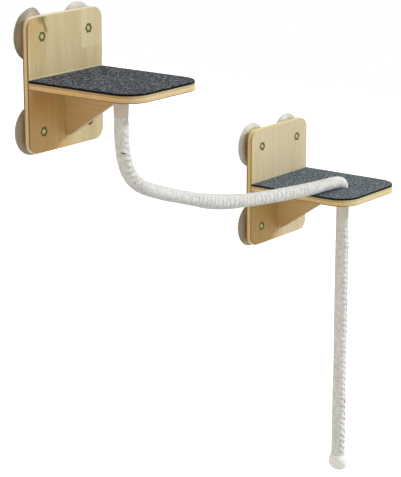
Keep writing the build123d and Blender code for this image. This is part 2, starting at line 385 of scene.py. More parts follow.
def along(changes, length):
    """The value at a length of what changes along the rope."""
    return changes[0] + sum(amount * smooth_step(low, high, length) for low, high, amount in changes[1:])


def mixed_shape(first, second, share):
    """Values part way between two lists of values."""
    return [one * (1 - share) + other * share for one, other in zip(first, second)]


def value_between(values, place):
    """The value at a place between those of a list."""
    before = int(place)
    share = place - before
    return values[before] * (1 - share) + values[before + 1] * share


def angle_from(middle, angle):
    """How far an angle is from a middle one."""
    return (angle - middle + math.pi) % full_turn - math.pi


def pit_share(angle):
    """How deep the hanging part's pits are at an angle."""
    seam = math.exp(-(angle_from(pit_angle, angle) / pit_half_angle) ** 2)
    left = math.exp(-(angle_from(left_pit_angle, angle) / pit_half_angle) ** 2)
    return min(1, least_pit_share + seam + left_pit_share * left)


def slit_share(length, angle):
    """How far into the short slit a spot lies."""
    away = angle_from(slit_angle, angle)
    off = (length - slit_length - slit_slant * away) / slit_half_length
    return math.exp(-(off**slit_edge_power) - (away / slit_half_angle) ** slit_edge_power)


def cotton_noise(outward, length, scales, shift):
    """Soft noise on the cotton at a spot."""
    along = [length * scale + start for scale, start in zip(scales[1:], shift)]
    return noise.noise(outward * scales[0] + Vector(along))


class GatheredCotton:
    """Soft cotton drawn in gathers round a core between two lengths, smooth on its other side."""

    def __init__(self, start, end, pitches, seed, fall_power, floor_share, slitted=False):
        draw = random.Random(seed)
        self.edges = [start]
        while self.edges[-1] < end:
            slip = 1 + draw.uniform(-slip_share, slip_share)
            self.edges.append(self.edges[-1] + along(pitches, self.edges[-1]) * slip)
        count = len(self.edges) + spare_gathers
        self.heights = [draw.uniform(*gather_height_shares) for gather in range(count)]
        self.leans = [draw.uniform(-gather_lean_share, gather_lean_share) for gather in range(count)]
        self.start, self.end, self.seed = start, end, seed
        self.fall_power, self.floor_share, self.slitted = fall_power, floor_share, slitted

    def spot(self, length, turn, angle, outward, gathers):
        """How far a spot stands off the radius and out of the hollows."""
        middle, half, slant, height, pit, wrinkle_size = gathers
        away = angle_from(middle, angle)
        jitter = cotton_noise(outward, length, jitter_scales, (self.seed, 0, 0))
        phase = turn - slant * away / full_turn + gather_jitter * jitter
        gather = phase + first_gather
        low = 0.5 + 0.5 * math.cos(full_turn * phase)
        loose = 1 - smooth_step(loose_side_share, 1, abs(away - value_between(self.leans, gather)) / half)
        fall = low**self.fall_power
        pitted = pit_share(angle) if self.floor_share else 1
        proud = loose * value_between(self.heights, gather) * height * (1 - (1 - self.floor_share) * fall)
        proud -= loose * pit * pitted * low**pit_power
        slit = slit_share(length, angle) if self.slitted else 0
        proud -= slit_depth * slit
        proud += (1 - loose) * smooth_ridge * math.cos(full_turn * turn)
        wrinkle = cotton_noise(outward, length, wrinkle_scales, (0, self.seed, 0))
        crease = cotton_noise(outward, length, crease_scales, (0, self.seed + crease_seed, 0))
        wrinkled = smooth_side_wrinkle_share + (1 - smooth_side_wrinkle_share) * loose
        proud += wrinkled * wrinkle * wrinkle_size + crease * crease_size
        hollow_size = (1 - least_hollow) * min(1, height / full_hollow_height)
        return proud, min(1 - hollow_size * loose * pitted * fall, 1 - slit)

    def piece(self, name, line, shape_at):
        """The cotton's mesh, with maps of its surface."""
        rings = round((self.end - self.start) / ring_spacing) + 1
        points, lengths, hollows = [], [], []
        for ring in range(rings):
            length = self.start + (self.end - self.start) * ring / (rings - 1)
            place, across = line.at(length)
            turn = float(np.interp(length, self.edges, range(len(self.edges))))
            radius, gathers = shape_at(length)
            radius += wave_size * noise.noise(Vector((length * wave_scale + self.seed, wave_lane, wave_lane)))
            for angle, outward in ways_round(across, (0, 1, 0), round_steps):
                proud, hollow = self.spot(length, turn, angle, outward, gathers)
                points.append(place + outward * (radius + proud))
                hollows.append(hollow)
            lengths.append(length)
        made = mesh_object(name, points, tube_faces(rings, round_steps))
        cotton_map(made.data, lengths, hollows)
        return made


def cotton_map(mesh, lengths, hollows):
    """Maps of the cotton: place along and round it, and how far out of the hollows."""
    layer = mesh.uv_layers.new(name="cotton")
    depth_layer = mesh.uv_layers.new(name="hollow")
    for face in range((len(lengths) - 1) * round_steps):
        low, left = divmod(face, round_steps)
        corners = ((low, left), (low, left + 1), (low + 1, left + 1), (low + 1, left))
        for loop, (ring, step) in zip(mesh.polygons[face].loop_indices, corners):
            layer.data[loop].uv = (lengths[ring], step / round_steps * full_turn * rope_radius)
            depth_layer.data[loop].uv = (hollows[ring * round_steps + step % round_steps], 0)


def wound_ball():
    """Ball at the rope's end, with a soft groove between its turns."""
    axis = ball_axis.normalized()
    side = axis.orthogonal().normalized()
    other = axis.cross(side)
    points, hollows, lengths = [], [], []
    for ring in range(ball_rings + 1):
        polar = math.pi * (ring + 0.5) / (ball_rings + 1)
        for angle, way in ways_round(side, other, round_steps):
            outward = way * math.sin(polar) + axis * math.cos(polar)
            wrinkle = noise.noise(outward * ball_wrinkle_scale)
            slip = ball_slip * noise.noise(outward * ball_slip_scale)
            phase = ball_turns * polar / math.pi - angle / full_turn + slip
            low = 0.5 - 0.5 * math.cos(full_turn * phase)
            groove = low**ball_groove_power * math.sin(polar) ** ball_pole_power
            radius = wound_ball_radius - ball_groove * groove + ball_wrinkle * wrinkle
            points.append(ball_centre + ball_shift + outward * radius)
            hollows.append(1 - (1 - least_hollow) * groove)
        lengths.append(polar * wound_ball_radius)
    ball = mesh_object("rope_end_ball_wound", points, tube_faces(ball_rings + 1, round_steps))
    cotton_map(ball.data, lengths, hollows)
    return stands_for(ball, "rope_end_ball", DROP_BODY)


def arc(start, end, rise, count):
    """Points of a shallow arc that stands off its chord by rise, to its left."""
    start, end = Vector(start), Vector(end)
    chord = end - start
    left = Vector((-chord.y, chord.x)).normalized()
    shares = [index / count for index in range(1, count + 1)]
    return [tuple(start + chord * share + left * rise * 4 * share * (1 - share)) for share in shares]


def cup_profile():
    """Radius and height of a cup's hollow, flat lip, rounded rim, convex wall and boss."""
    seat = cup_radius - cup_seat_width
    profile = [(cup_edge, cup_hollow_depth)]
    for step in range(1, cup_arc_steps + 1):
        share = step / cup_arc_steps
        profile.append((seat * share, cup_hollow_depth * (1 - share**2)))
    profile += [(seat + cup_edge, 0), (cup_radius - cup_edge, 0), (cup_radius, cup_edge)]
    rim_low = cup_rim_height - cup_rim_round
    rim_in, rim_up = cup_round_share * cup_rim_round, (1 - cup_round_share) * cup_rim_round
    profile += [(cup_radius, rim_low), (cup_radius - rim_in, rim_low + rim_up)]
    rim = (cup_radius - cup_rim_round, cup_rim_height)
    shoulder = (cup_shoulder_radius, cup_shoulder_height)
    profile += [rim] + arc(rim, shoulder, -cup_dome_rise, cup_arc_steps)
    profile += [(cup_boss_radius + cup_boss_round, cup_shoulder_height)]
    profile += [(cup_boss_radius, cup_shoulder_height + cup_edge)]
    profile += [(cup_boss_radius, cup_height - cup_boss_round)]
    boss_in = cup_round_share * cup_boss_round
    profile += [(cup_boss_radius - boss_in, cup_height - boss_in)]
    return profile + [(cup_boss_radius - cup_boss_round, cup_height), (cup_edge, cup_height)]


def suction_cup(side, corner):
    """Soft cup at a corner of a perch, its profile turned about its axis."""
    node = f"{side}_cup_{corner}"
    low, high = box(node)
    centre = Vector(((low.x + high.x) / 2, high.y, (low.z + high.z) / 2))
    profile = cup_profile()
    points = []
    for radius, height in profile:
        middle = centre - Vector((0, height, 0))
        points += [middle + way * radius for _, way in ways_round((1, 0, 0), (0, 0, 1), cup_steps)]
    cup = mesh_object(f"{node}_soft", points, tube_faces(len(profile), cup_steps))
    if node == "upper_cup_top_left":
        press_unevenly(cup.data, centre)
    radius_map(cup.data, centre)
    return stands_for(cup, node, BODY)


def press_unevenly(mesh, centre):
    """The most visible cup stands out at its top and is drawn in at its left."""
    angles = [math.radians(angle) for angle, reach in uneven_rim_shares]
    reaches = [reach for angle, reach in uneven_rim_shares]
    for vertex in mesh.vertices:
        x, z = vertex.co.x - centre[0], vertex.co.z - centre[2]
        pressed = smooth_step(pressed_from_share, 1, math.hypot(x, z) / cup_radius)
        grown = 1 + (np.interp(math.atan2(z, x), angles, reaches) - 1) * pressed
        vertex.co.x = centre[0] + x * grown
        vertex.co.z = centre[2] + z * grown


def radius_map(mesh, centre):
    """A map of how far from the axis a spot of a cup is."""
    layer = mesh.uv_layers.new(name="radius")
    for loop in mesh.loops:
        place = mesh.vertices[loop.vertex_index].co
        radius = math.hypot(place.x - centre[0], place.z - centre[2])
        layer.data[loop.index].uv = (radius / cup_radius, 0)


def felt_outline(low, high, inset):
    """Outline of a mat from above, round at the front, drawn in by inset."""
    radius = felt_corner_radius - inset
    left, right, front, back = low.x + inset, high.x - inset, low.y + inset, high.y - inset
    points = straight((left, back), (left, front + radius))
    points += round_points((left + radius, front + radius), radius, math.pi)
    points += straight((left + radius, front), (right - radius, front))
    points += round_points((right - radius, front + radius), radius, 3 * quarter_turn)
    points += straight((right, front + radius), (right, back))
    return points + straight((right, back), (left, back))


def straight(start, end):
    """Evenly spaced points from start up to, but without, end."""
    start, end = Vector(start), Vector(end)
    count = max(1, round((end - start).length / felt_spacing))
    return [tuple(start + (end - start) * index / count) for index in range(count)]


def round_points(centre, radius, from_angle=0, turn=quarter_turn, count=None):
    """Evenly spaced points of a turn, without its end."""
    count = count or max(1, round(radius * quarter_turn / felt_spacing))
    angles = [from_angle + turn * index / count for index in range(count)]
    return [(centre[0] + radius * math.cos(angle), centre[1] + radius * math.sin(angle)) for angle in angles]


def edge_drop(distance):
    """How far below the top the edge lies, at a distance from the rim."""
    if distance >= felt_edge_round:
        return 0
    return felt_edge_round - math.sqrt(felt_edge_round**2 - (felt_edge_round - distance) ** 2)


def felt_loops(low, high, has_hole):
    """Outlines of a mat and its hole, from the rim in, each with its drop."""
    insets = [felt_edge_round * share for share in felt_edge_shares]
    loops = [(felt_outline(low, high, inset), edge_drop(inset)) for inset in insets]
    if has_hole:
        for inset in insets:
            ring = round_points(hole.xy, felt_hole_radius + inset, 0, full_turn, felt_hole_steps)
            loops.append((ring, edge_drop(inset)))
    return loops


def inner_points(low, high, has_hole, draw):
    """Points spread over a mat's top, well inside its edges."""
    margin = felt_spacing * felt_margin_share
    inner = [Vector(point) for point in felt_outline(low, high, felt_edge_round + margin)]
    hole_reach = felt_hole_radius + felt_edge_round + margin
    shift = felt_shift_share * felt_spacing
    points = []
    x = low.x
    while x < high.x:
        y = low.y
        while y < high.y:
            point = Vector((x + draw.uniform(-shift, shift), y + draw.uniform(-shift, shift)))
            if not (has_hole and (point - hole.xy).length <= hole_reach) and inside(point, inner):
                points.append(point)
            y += felt_spacing
        x += felt_spacing
    return points


def felt_mat(side):
    """Mat of needled felt with a rounded edge and a slightly uneven top."""
    node = f"{side}_felt_mat"
    low, high = box(node)
    has_hole = side == "lower"
    points, edges, drops = [], [], []
    for loop, drop in felt_loops(low, high, has_hole):
        first = len(points)
        points += [Vector(point) for point in loop]
        drops += [drop] * len(loop)
        edges += [(first + index, first + (index + 1) % len(loop)) for index in range(len(loop))]
    spread = inner_points(low, high, has_hole, random.Random(felt_seeds[side]))
    points += spread
    drops += [0] * len(spread)
    flat, _, triangles, _, _, _ = delaunay_2d_cdt(points, edges, [], 0, triangle_slack)
    outer = [Vector(point) for point in felt_outline(low, high, 0)]
    kept = []
    for triangle in triangles:
        middle = sum((flat[index] for index in triangle), Vector((0, 0))) / 3
        if has_hole and (middle - hole.xy).length < felt_hole_radius:
            continue
        if inside(middle, outer):
            kept.append(tuple(triangle))
    return felt_solid(node, flat, drops, kept, low.z, high.z)


def inside(point, outline):
    """True for a point inside a closed outline."""
    crossings = 0
    for start, end in zip(outline, outline[1:] + outline[:1]):
        if (start.y > point.y) != (end.y > point.y):
            at = start.x + (point.y - start.y) / (end.y - start.y) * (end.x - start.x)
            crossings += point.x < at
    return crossings % 2 == 1


def felt_solid(node, flat, drops, triangles, low_z, high_z):
    """Closed mat from its flat triangles."""
    count = len(flat)
    top = []
    for point, drop in zip(flat, drops):
        fuzz = 0 if drop else felt_fuzz * noise.noise(Vector((point.x, point.y, 0)) * felt_fuzz_scale)
        top.append((point.x, point.y, high_z - drop + fuzz))
    bottom = [(point.x, point.y, low_z) for point in flat]
    faces = triangles + [tuple(index + count for index in reversed(triangle)) for triangle in triangles]
    sides = [pair for triangle in triangles for pair in zip(triangle, triangle[1:] + triangle[:1])]
    used = dict.fromkeys(sides)
    for start, end in used:
        if (end, start) not in used:
            faces.append((end, start, start + count, end + count))
    return stands_for(mesh_object(f"{node}_felt", top + bottom, faces), node, BODY)


def tape_sleeve(node, seed, crease, end_radius):
    """Tape wrapped round the rope, its mouth turned in to the rope."""
    low, high = box(node)
    centre = (low + high) / 2
    top_radius = (high.x - low.x) / 2
    ways = ways_round((1, 0, 0), (0, 1, 0), sleeve_steps)
    around, upright = tape_fold_scales
    points = []
    for ring in range(sleeve_rings + 1):
        share = ring / sleeve_rings
        z = high.z + (low.z - high.z) * share
        radius = top_radius + (end_radius - top_radius) * share
        for angle, outward in ways:
            spot = Vector((outward.x * around + seed, outward.y * around, (z - angle * crease) * upright))
            lap_z = high.z - tape_lap_drop - tape_lap_slant * math.sin(angle + tape_lap_turn)
            lap = tape_lap * smooth_step(0, tape_lap_edge, z - lap_z) if crease else 0
            reach = radius + tape_fold * noise.noise(spot) + lap
            points.append(Vector((centre.x, centre.y, z)) + outward * reach)
    for shift, radius_share in sleeve_mouth:
        middle = Vector((centre.x, centre.y, low.z + shift))
        points += [middle + outward * end_radius * radius_share for _, outward in ways]
    faces = tube_faces(sleeve_rings + 1 + len(sleeve_mouth), sleeve_steps)
    return stands_for(mesh_object(f"{node}_tape", points, faces), node, BODY)


# Materials. Colours are given as they look on screen, red, green and blue from 0 to 255.

WHITE = (255, 255, 255)
beyond = 5


def linear(shade):
    """A screen colour as the shader takes it, anything else as it is."""
    if not isinstance(shade, tuple) or len(shade) != 3:
        return shade
    shares = [value / 255 for value in shade]
    return (*[share / 12.92 if share <= 0.04045 else ((share + 0.055) / 1.055) ** 2.4 for share in shares], 1)


class Nodes:
    """A node tree, with short ways to add to it."""

    def __init__(self, tree):
        self.tree = tree

    def put(self, socket, value):
        """A socket takes a value, or a link from another socket."""
        if isinstance(value, bpy.types.NodeSocket):
            self.tree.links.new(value, socket)
        else:
            socket.default_value = value

    def add(self, kind, inputs=None, **settings):
        """A node with its settings and inputs."""
        made = self.tree.nodes.new(f"ShaderNode{kind}")
        for name, value in settings.items():
            setattr(made, name, value)
        for name, value in (inputs or {}).items():
            self.put(made.inputs[name], value)
        return made

    def maths(self, operation, *values):
        return self.add("Math", dict(enumerate(values)), operation=operation).outputs[0]

    def plus(self, first, second):
        return self.maths("ADD", first, second)

    def minus(self, first, second):
        return self.maths("SUBTRACT", first, second)

    def times(self, first, second):
        return self.maths("MULTIPLY", first, second)

    def parts(self, vector):
        """X, Y and Z of a vector."""
        return self.add("SeparateXYZ", {0: vector}).outputs

    def place(self):
        return self.add("TexCoord").outputs["Object"]

    def uv(self, name):
        return self.add("UVMap", uv_map=name).outputs["UV"]

    def facing(self):
        """X, Y and Z of the surface's direction."""
        return self.parts(self.add("NewGeometry").outputs["Normal"])

    def noise(self, vector, scale, detail=2, roughness=0.5, distortion=0):
        """Noise of one scale, or of a scale for each of X, Y and Z."""
        if isinstance(scale, tuple):
            vector = self.add("VectorMath", {0: vector, 1: scale}, operation="MULTIPLY").outputs[0]
            scale = 1
        inputs = {"Vector": vector, "Scale": scale, "Detail": detail, "Roughness": roughness}
        return self.add("TexNoise", {**inputs, "Distortion": distortion}).outputs["Fac"]

    def between(self, value, low, high, soft):
        """1 where a value lies between low and high, with soft ends."""
        rise = self.add("MapRange", {"Value": value, "From Min": low - soft, "From Max": low + soft})
        fall = self.add("MapRange", {"Value": value, "From Min": high + soft, "From Max": high - soft})
        return self.times(rise.outputs[0], fall.outputs[0])

    def ramp(self, value, *stops):
        """Colours along a value."""
        made = self.add("ValToRGB", {"Fac": value})
        elements = made.color_ramp.elements
        while len(elements) > 1:
            elements.remove(elements[-1])
        elements[0].position, elements[0].color = stops[0][0], linear(stops[0][1])
        for position, shade in stops[1:]:
            elements.new(position).color = linear(shade)
        return made.outputs["Color"]

    def mix(self, share, first, second, blend_type="MIX"):
        made = self.add("Mix", data_type="RGBA", blend_type=blend_type)
        for index, value in ((0, share), (6, linear(first)), (7, linear(second))):
            self.put(made.inputs[index], value)
        return made.outputs[2]

    def tint(self, base, shade):
        """A colour seen through another."""
        return self.mix(1.0, base, shade, "MULTIPLY")

    def stain(self, base, share, value, *stops):
        """A colour seen through a share of the colours along a value."""
        return self.mix(share, base, self.ramp(value, *stops), "MULTIPLY")

    def speckled(self, base, vector, speckles, depth_share=1):
        """A colour stained by one noise after another, and these noises."""
        noises = []
        for settings, share, *stops in speckles:
            noises.append(self.noise(vector, *settings))
            base = self.stain(base, share * depth_share, noises[-1], *stops)
        return base, noises

    def seen_directly(self):
        """1 for what is seen by itself, in a reflection or through something."""
        rays = self.add("LightPath").outputs
        seen = self.maths("MAXIMUM", rays["Is Camera Ray"], rays["Is Glossy Ray"])
        return self.maths("MAXIMUM", seen, rays["Is Transmission Ray"])


class Look(Nodes):
    """A material, whose constant settings go straight to its shader's sockets."""

    def __init__(self, name, **settings):
        self.material = bpy.data.materials.new(name)
        self.material.use_nodes = True
        super().__init__(self.material.node_tree)
        self.shader = self.tree.nodes["Principled BSDF"]
        for socket, value in settings.items():
            self.shader.inputs[socket.replace("_", " ")].default_value = value

    def finished(self, base, relief, strength, distance):
        """The material with its colour and its relief."""
        inputs = {"Height": relief, "Strength": strength, "Distance": distance}
        self.put(self.shader.inputs["Base Color"], base)
        self.put(self.shader.inputs["Normal"], self.add("Bump", inputs).outputs["Normal"])
        return self.material


# Wood of the boards. Speckles give the noise's scale across, through and along the board, its detail,
# roughness and distortion, then how strongly it shows and the colours along it.
board_shift = (0.37, 0.11, 0.53)
broad_grain = ((24, 8, 3), 3, 0.5, 0.5)
broad_grain_stops = (0.3, 0.5, 0.7)
fine_grains = (
    (((95, 20, 7), 3, 0.55, 1.2), 0.18, (0.36, (222, 200, 165)), (0.5, WHITE)),
    (((420, 60, 9), 3, 0.6, 0.3), 0.12, (0.35, (205, 178, 135)), (0.55, WHITE)),
    (((1500, 900, 60), 2, 0.6), 0.15, (0.35, (190, 160, 120)), (0.6, WHITE)),
)
edge_pores = (0.35, (215, 190, 150)), (0.6, WHITE)
edge_pore_share = 0.35
layer_waves = ((60, 0, 60), 2)
layer_wave_share = 0.03
layer_blur_share = 0.015
end_grain = {"From Min": 0.35, "From Max": 0.9}
front_facing = (-beyond, -0.5, 0.1)
edge_facing = (-0.86, 0.86, 0.1)
board_relief = (0.1, 0.0003)


def layer_ramp(*shades):
    """Stops for layers, from pairs of the share of the thickness where one ends and its colour."""
    stops = [(0.0, shades[0][1])]
    for (end, shade), (_, following) in zip(shades, shades[1:]):
        stops += [(end - layer_blur_share, shade), (end + layer_blur_share, following)]
    return stops


tan, dark, foot, tan_share = (222, 198, 150), (128, 98, 64), (172, 146, 98), 0.72
plate_layers = {
    "upper": layer_ramp((0.22, (134, 108, 52)), (tan_share, tan), (1.0, dark)),
    "lower": layer_ramp((0.22, (160, 132, 72)), (tan_share, tan), (1.0, dark)),
}
# The shelf's layers from its bottom up; the thin darkest one at the very top is painted shadow under the
# felt's edge
shelf_layers = layer_ramp(
    (0.16, (138, 106, 62)), (0.32, (228, 204, 150)), (0.35, foot), (0.68, (228, 203, 161)),
    (0.73, foot), (0.965, (190, 169, 122)), (1.0, (90, 74, 48)),
)

# Broad tones of the faces, and for the edges the sides' tint, partly painted shade, the end grain's tone,
# partly a painted highlight, and its share
plate_tones = {
    "upper": ((208, 196, 156), (204, 191, 149), (198, 182, 138)),
    "lower": ((218, 208, 176), (215, 204, 171), (209, 196, 160)),
}
# The gusset's tones are more orange than the plates': partly its own wood, partly painted warm shade
gusset_tones = ((222, 190, 139), (214, 181, 130), (206, 172, 120))
plate_edges = {"upper": (WHITE, (232, 220, 196), 0.8), "lower": ((255, 250, 235), (224, 212, 152), 0.8)}
shelf_edges = {
    "upper": ((252, 240, 214), (196, 188, 146), 0.25),
    "lower": ((255, 254, 232), (214, 206, 160), 0.4),
}
gusset_edges = (WHITE, tan, 0.0)
board_seeds = {"upper": (1, 4, 8), "lower": (2, 5, 9)}

# Patches of the fronts: reaches with their softness, across from the left edge, up from the foot or from
# the seam at the felt's top, or along the gusset from its plate, then their share, colour and kind
LAID, TINTED = "MIX", "MULTIPLY"
plate_width = 0.165
plate_strips = {
    "upper": (
        (0.0, (250, 246, 236)), (0.2, (252, 248, 240)), (0.235, WHITE),
        (0.7, (254, 254, 254)), (0.71, (250, 250, 252)),
    ),
    "lower": ((0.0, (255, 255, 252)), (0.5, (250, 250, 250))),
}
# Painted shade: a warm darker tint low at the left of each plate, where the shelf and gusset cast their
# shadow
painted_shade_low_left = (("across", -beyond, 0.085, 0.02), ("height", -beyond, 0.09, 0.01))
upper_rim = (("across", -beyond, 0.0038, 0.0008), ("height", 0.12, 0.165, 0.008))
lower_rim = (("across", -beyond, 0.005, 0.0008), ("seam", 0, beyond, 0.002))
# Painted shade: a redder, darker band on the upper plate just under the shelf, fading downwards
painted_shade_under_shelf = (
    ("across", 0.004, 0.056, 0.012),
    ("height", 0.062, beyond, 0.022),
    ("seam", -beyond, -0.008, 0.004),
)
insert = (("across", 0.117, beyond, 0.0015), ("height", 0.1425, beyond, 0.0015))
upper_corner = (("across", -beyond, 0.036, 0.014), ("height", 0.158, beyond, 0.03))
streak = (("streak", -0.0028, 0.0028, 0.0014), ("height", 0.1755, 0.1975, 0.002))
plate_patches = {
    "upper": (
        (painted_shade_low_left, 1, (255, 226, 192), TINTED),
        (upper_rim, 0.7, (222, 196, 168), LAID),
        (painted_shade_under_shelf, 1, (249, 226, 214), TINTED),
        ((("seam", 0.001, 0.0022, 0.0004),), 0.6, (240, 230, 204), LAID),
        ((("seam", -0.001, 0.0006, 0.0003),), 0.6, (110, 96, 58), LAID),
        (insert, 0.38, (212, 202, 170), LAID),
        ((*insert, ("across", 0.117, 0.129, 0.002)), 0.35, (222, 214, 176), LAID),
        (upper_corner, 0.6, (186, 152, 88), LAID),
        ((("knot", -beyond, 0.0085, 0.003),), 0.85, (128, 126, 66), LAID),
        (streak, 0.85, (126, 96, 46), LAID),
    ),
    "lower": ((painted_shade_low_left, 1, (230, 202, 148), TINTED), (lower_rim, 0.5, (222, 200, 134), LAID)),
}
# Painted shade: a faint darker line along the gusset where it meets its plate
gusset_joint_shade = ((("along", -0.0025, beyond, 0.001),), 1, (246, 243, 240), TINTED)
gusset_foot = (("height", -beyond, 0.014, 0.01),)
gusset_foot_tints = {"upper": (252, 243, 234), "lower": (255, 252, 244)}

# The upper plate's knot and the streak that leans away below it, across and up
knot_across, knot_up, knot_up_share = 0.0305, 0.2, 0.75
knot_wobble = ((90, 90, 90), 2)
knot_wobble_size = 0.006
streak_across, streak_up, streak_lean = 0.032, 0.196, 0.42
streak_wobble_share = 0.3


def plywood(name, turn, origin, thickness, layers, seed, tones, edge_tones, marks=None):
    """Pine plywood. Turned, X runs across the grain, Y through the layers and Z along the grain."""
    look = Look(name, Roughness=0.55)
    inputs = {"Vector": look.place(), "Rotation": turn}
    board = look.add("Mapping", inputs, vector_type="POINT").outputs["Vector"]
    inputs = {"Vector": look.add("NewGeometry").outputs["Normal"], "Rotation": turn}
    facing = look.parts(look.add("Mapping", inputs, vector_type="VECTOR").outputs["Vector"])
    parts = look.parts(board)
    shift = tuple(seed * share for share in board_shift)
    moved = look.add("VectorMath", {0: board, 1: shift}, operation="ADD").outputs[0]
    base = look.ramp(look.noise(moved, *broad_grain), *zip(broad_grain_stops, tones))
    base, (_, rings, pores) = look.speckled(base, moved, fine_grains)
    if marks:
        base = look.mix(look.between(facing["Y"], *front_facing), base, marks(look, base, parts, moved))
    depth = look.maths("DIVIDE", look.minus(parts["Y"], origin), thickness)
    depth = look.plus(depth, look.times(look.minus(look.noise(moved, *layer_waves), 0.5), layer_wave_share))
    layered = look.stain(look.ramp(depth, *layers), edge_pore_share, pores, *edge_pores)
    # Long-grain sides take a darker tint and end grain a paler tone, each partly the wood's own: painted
    # shade on the sides, painted highlight on the end grain
    side_tint_and_shade, end_tone_and_highlight, end_share = edge_tones
    end_facing = look.maths("ABSOLUTE", facing["Z"])
    end_facing = look.add("MapRange", {"Value": end_facing, **end_grain}).outputs[0]
    layered = look.mix(end_facing, look.tint(layered, side_tint_and_shade), look.mix(end_share, layered, end_tone_and_highlight))
    base = look.mix(look.between(facing["Y"], *edge_facing), base, layered)
    return look.finished(base, look.plus(rings, pores), *board_relief)


def patched(look, base, places, patches):
    """A face with its patches, each of them the product of its reaches."""
    for reaches, share, shade, kind in patches:
        area = share
        for name, *reach in reaches:
            area = look.times(look.between(places[name], *reach), area)
        base = look.mix(area, base, shade, kind)
    return base


def knot_places(look, across, height, moved):
    """How far a spot is from the knot's middle and from the streak's."""
    wobble = look.times(look.minus(look.noise(moved, *knot_wobble), 0.5), knot_wobble_size)
    aside = look.plus(look.minus(across, knot_across), wobble)
    up = look.times(look.minus(height, knot_up), knot_up_share)
    away = look.maths("SQRT", look.plus(look.times(aside, aside), look.times(up, up)))
    lean = look.times(look.minus(streak_up, height), streak_lean)
    from_streak = look.minus(look.minus(across, streak_across), lean)
    return {"knot": away, "streak": look.plus(from_streak, look.times(wobble, streak_wobble_share))}


def plate_marks(side, plate_low, felt_top):
    """Glued strips and patches of a plate's face, among them painted shade below the shelf."""

    def marks(look, base, parts, moved):
        across = look.minus(parts["X"], plate_low.x)
        height = look.minus(parts["Z"], plate_low.z)
        places = {"across": across, "height": height, "seam": look.minus(parts["Z"], felt_top)}
        if side == "upper":
            places.update(knot_places(look, across, height, moved))
        base = look.stain(base, 1, look.maths("DIVIDE", across, plate_width), *plate_strips[side])
        return patched(look, base, places, plate_patches[side])

    return marks


def gusset_marks(side, plate_front, foot_z):
    """A darker line of painted shade where the gusset meets its plate, and its foot."""

    def marks(look, base, parts, moved):
        places = {"along": look.minus(parts["Z"], plate_front), "height": look.minus(parts["X"], foot_z)}
        patches = (gusset_joint_shade, (gusset_foot, 1, gusset_foot_tints[side], TINTED))
        return patched(look, base, places, patches)

    return marks


# Cotton: yarns across the cord, lint and mottle in it, painted shade in its hollows, and painted light and
# shade along the span's length
cotton_broad = (130, 3, 0.55)
cotton_yarns = ((((1400, 160, 0), 2, 0.5), 0.16, (0.3, (196, 192, 184)), (0.55, WHITE)),)
cotton_lint = (
    ((1200, 3, 0.65), 0.2, (0.3, (200, 197, 190)), (0.6, WHITE)),
    ((420, 2, 0.6), 0.3, (0.36, (206, 203, 198)), (0.6, WHITE)),
)
deepest_hollow_shade = (0.13, (92, 88, 78))
hollow_stop, full_stop = 0.27, 0.8
cotton_relief = (0.35, 0.0004)
cotton_glow_depth = 0.012
# Each cotton's dim and bright patch tones, then the painted shade in its hollows; the ball's also sheen, glow
# and roughness share
span_cotton = ((216, 219, 220), (245, 247, 248), (227, 227, 225))
hanging_cotton = ((220, 223, 225), (246, 249, 252), (170, 169, 166))
ball_cotton = ((244, 251, 255), (250, 254, 255), (244, 247, 252), 0.6, 0.8, 0.2)
# Painted light and shade along the span: grey levels along its length, and a slightly darker top on its far
# part
span_painted_light = ((0.08, 255), (0.13, 243), (0.24, 241), (0.31, 244), (0.5, 242), (0.62, 242), (0.66, 255))
far_span = (0.31, 0.65, 0.03)
far_top_painted_shade = (0.2, WHITE), (0.8, (246, 246, 247))


def cotton(name, dim_patch, bright, hollow, sheen=0.1, glow=0.0, rough_share=1.0, painted_levels=()):
    """Bleached cotton: fine yarns across it, a little lint and painted shade in its hollows."""
    soft = {"Subsurface_Weight": glow, "Subsurface_Scale": cotton_glow_depth, "Subsurface_Radius": (1, 1, 1)}
    look = Look(name, Roughness=0.92, Sheen_Weight=sheen, Sheen_Roughness=0.5, **soft)
    place, surface = look.place(), look.uv("cotton")
    base = look.ramp(look.noise(place, *cotton_broad), (0.3, dim_patch), (0.7, bright))
    base, (yarns,) = look.speckled(base, surface, cotton_yarns, rough_share)
    base, (lint, _) = look.speckled(base, place, cotton_lint, rough_share)
    out = look.parts(look.uv("hollow"))["X"]
    base = look.stain(base, 1, out, deepest_hollow_shade, (hollow_stop, hollow), (full_stop, WHITE))
    # Painted light and shade along the span's length and on the top of its far part
    if painted_levels:
        length = look.parts(surface)["X"]
        base = look.stain(base, 1, length, *((stop, (level, level, level)) for stop, level in painted_levels))
        base = look.stain(base, look.between(length, *far_span), look.facing()["Z"], *far_top_painted_shade)
    return look.finished(base, look.plus(yarns, lint), *cotton_relief)


# Felt: specks and fine fibres, a changing tint and clouds, and nearly black where it is cut
felt_specks, felt_speck_share = (290, 2, 0.85, 0.6), 0.7
felt_fine, felt_fine_share = (900, 2, 0.7), 0.3
felt_fibre_stops = (0.41, 0.48, 0.53, 0.59)
felt_stains = (
    ((300, 1, 0.5), 1, (0.35, (250, 240, 255)), (0.65, (235, 255, 245))),
    ((70, 2, 0.5), 0.5, (0.3, (215, 215, 220)), (0.7, WHITE)),
)
cut_facing = (-0.6, 0.9, 0.06)
cut_share, cut_tone = 0.97, (4, 4, 5)
felt_relief = (0.4, 0.0004)
felt_tones = {"upper": (222, 219, 222), "lower": (250, 255, 255)}
felt_fibres = {
    "upper": ((24, 26, 30), (53, 58, 64), (82, 89, 96), (168, 175, 183)),
    "lower": ((54, 58, 64), (79, 86, 93), (101, 108, 115), (162, 169, 175)),
}


